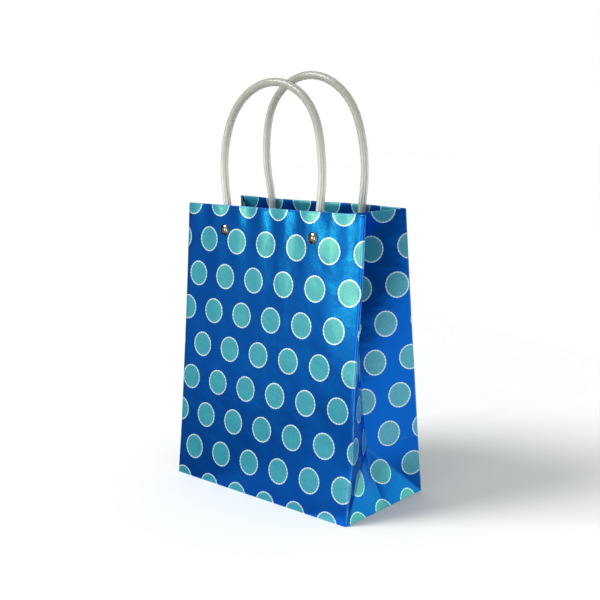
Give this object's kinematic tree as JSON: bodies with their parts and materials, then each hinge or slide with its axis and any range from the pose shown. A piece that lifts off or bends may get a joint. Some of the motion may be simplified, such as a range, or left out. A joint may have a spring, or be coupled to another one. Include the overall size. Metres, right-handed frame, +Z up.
{
  "type": "gift bag",
  "caption": "Upright gift bag of glossy printed paper with folded side gussets, turned-over rim, and two clear tube loop handles held by domed rivets.",
  "frame": {"origin": "middle of the base, at floor height", "axes": "+X to the right along the wide front panel, +Y from the front panel to the back panel, +Z up"},
  "size_m": [0.18, 0.0929, 0.3209],
  "materials": {
    "foil_paper": "glossy film-laminated, pearlescent blue with teal dots in silver rings",
    "card": "plain uncoated grey-white card",
    "clear_tube": "clear soft PVC, slightly cloudy",
    "rivet_metal": "polished, plated"
  },
  "bodies": {
    "base": {"base_board": "card", "front_flap": "foil_paper", "back_flap": "foil_paper", "left_flap": "foil_paper", "right_flap": "foil_paper", "left_gusset_foot": "foil_paper", "left_gusset_front": "foil_paper", "left_gusset_rear": "foil_paper", "right_gusset_foot": "foil_paper", "right_gusset_front": "foil_paper", "right_gusset_rear": "foil_paper", "left_hem_front": "foil_paper", "left_hem_rear": "foil_paper", "right_hem_front": "foil_paper", "right_hem_rear": "foil_paper"},
    "front_wall": {"front_panel": "foil_paper", "front_hem": "foil_paper", "front_stiffener": "card", "front_left_tube_end": "clear_tube", "front_right_tube_end": "clear_tube", "front_left_rivet": "rivet_metal", "front_right_rivet": "rivet_metal", "front_left_washer": "rivet_metal", "front_right_washer": "rivet_metal"},
    "back_wall": {"back_panel": "foil_paper", "back_hem": "foil_paper", "back_stiffener": "card", "side_seam": "foil_paper", "back_left_tube_end": "clear_tube", "back_right_tube_end": "clear_tube", "back_left_rivet": "rivet_metal", "back_right_rivet": "rivet_metal", "back_left_washer": "rivet_metal", "back_right_washer": "rivet_metal"},
    "front_loop": {"front_handle": "clear_tube"},
    "back_loop": {"back_handle": "clear_tube"}
  },
  "joints": [
    {"name": "front_wall_fold", "type": "hinge", "parent": "base", "child": "front_wall", "pos_m": [0, -0.0463, 0.0002], "axis": [1, 0, 0], "range_deg": [0, 5.8], "deforming": ["left_gusset_foot", "left_gusset_front", "left_gusset_rear", "right_gusset_foot", "right_gusset_front", "right_gusset_rear", "left_hem_front", "left_hem_rear", "right_hem_front", "right_hem_rear"]},
    {"name": "back_wall_fold", "type": "hinge", "parent": "base", "child": "back_wall", "pos_m": [0, 0.0463, 0.0002], "axis": [-1, 0, 0], "range_deg": [0, 3.7], "deforming": ["left_gusset_foot", "left_gusset_front", "left_gusset_rear", "right_gusset_foot", "right_gusset_front", "right_gusset_rear", "left_hem_front", "left_hem_rear", "right_hem_front", "right_hem_rear"]},
    {"name": "front_handle_bend", "type": "hinge", "parent": "front_wall", "child": "front_loop", "pos_m": [0, -0.01883, 0.22558], "axis": [1, 0, 0], "range_deg": [-9, 100], "stiffness_Nm_per_rad": 0.03},
    {"name": "back_handle_bend", "type": "hinge", "parent": "back_wall", "child": "back_loop", "pos_m": [0, 0.02711, 0.22643], "axis": [-1, 0, 0], "range_deg": [-9, 100], "stiffness_Nm_per_rad": 0.03}
  ]
}
